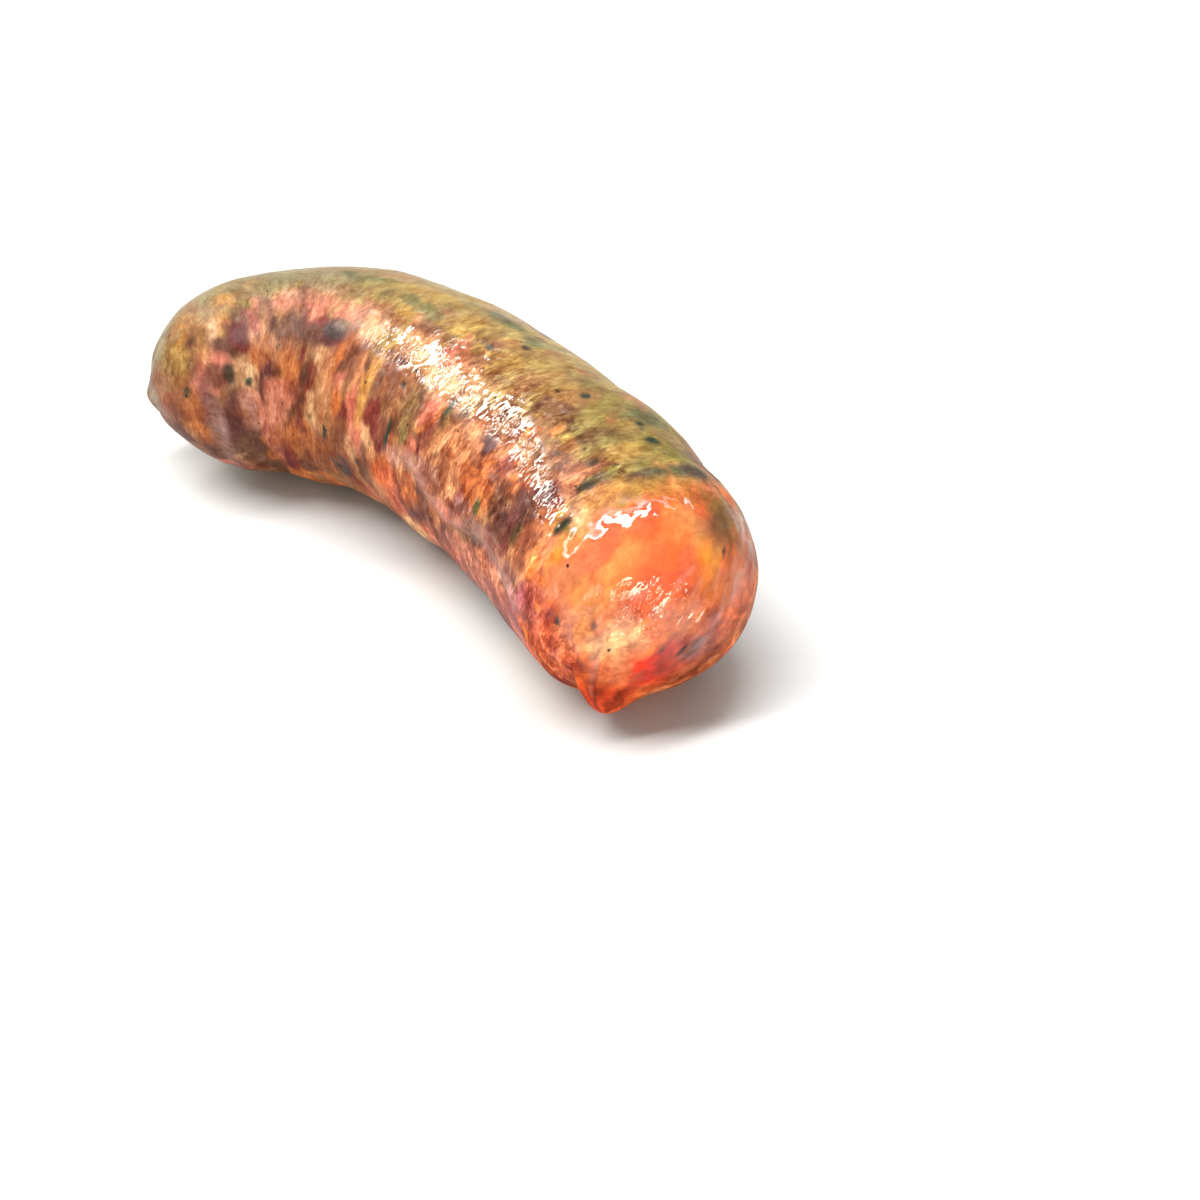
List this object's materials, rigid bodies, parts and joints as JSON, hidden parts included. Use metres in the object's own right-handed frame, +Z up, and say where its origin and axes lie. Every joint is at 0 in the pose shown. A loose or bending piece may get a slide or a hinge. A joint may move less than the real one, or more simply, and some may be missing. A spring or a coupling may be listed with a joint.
{
  "type": "fresh sausage link",
  "caption": "Plump, curved raw sausage link of coarse ground meat in a thin glossy casing, pinched into a small nub at each domed end, lying on its side.",
  "frame": {"origin": "middle of the bounding box in X and Y, at the bottom of the flat resting spot", "axes": "+X from the slimmer back tip to the front tip along the chord, +Y towards the outer side of the bend, +Z up"},
  "size_m": [0.1138, 0.0474, 0.035],
  "materials": {
    "casing": "thin moist natural casing with a wet gloss, over mottled pink, cream and purple-brown ground meat with pepper and herb flecks"
  },
  "bodies": {
    "root": {"sausage_link": "casing"}
  },
  "joints": []
}
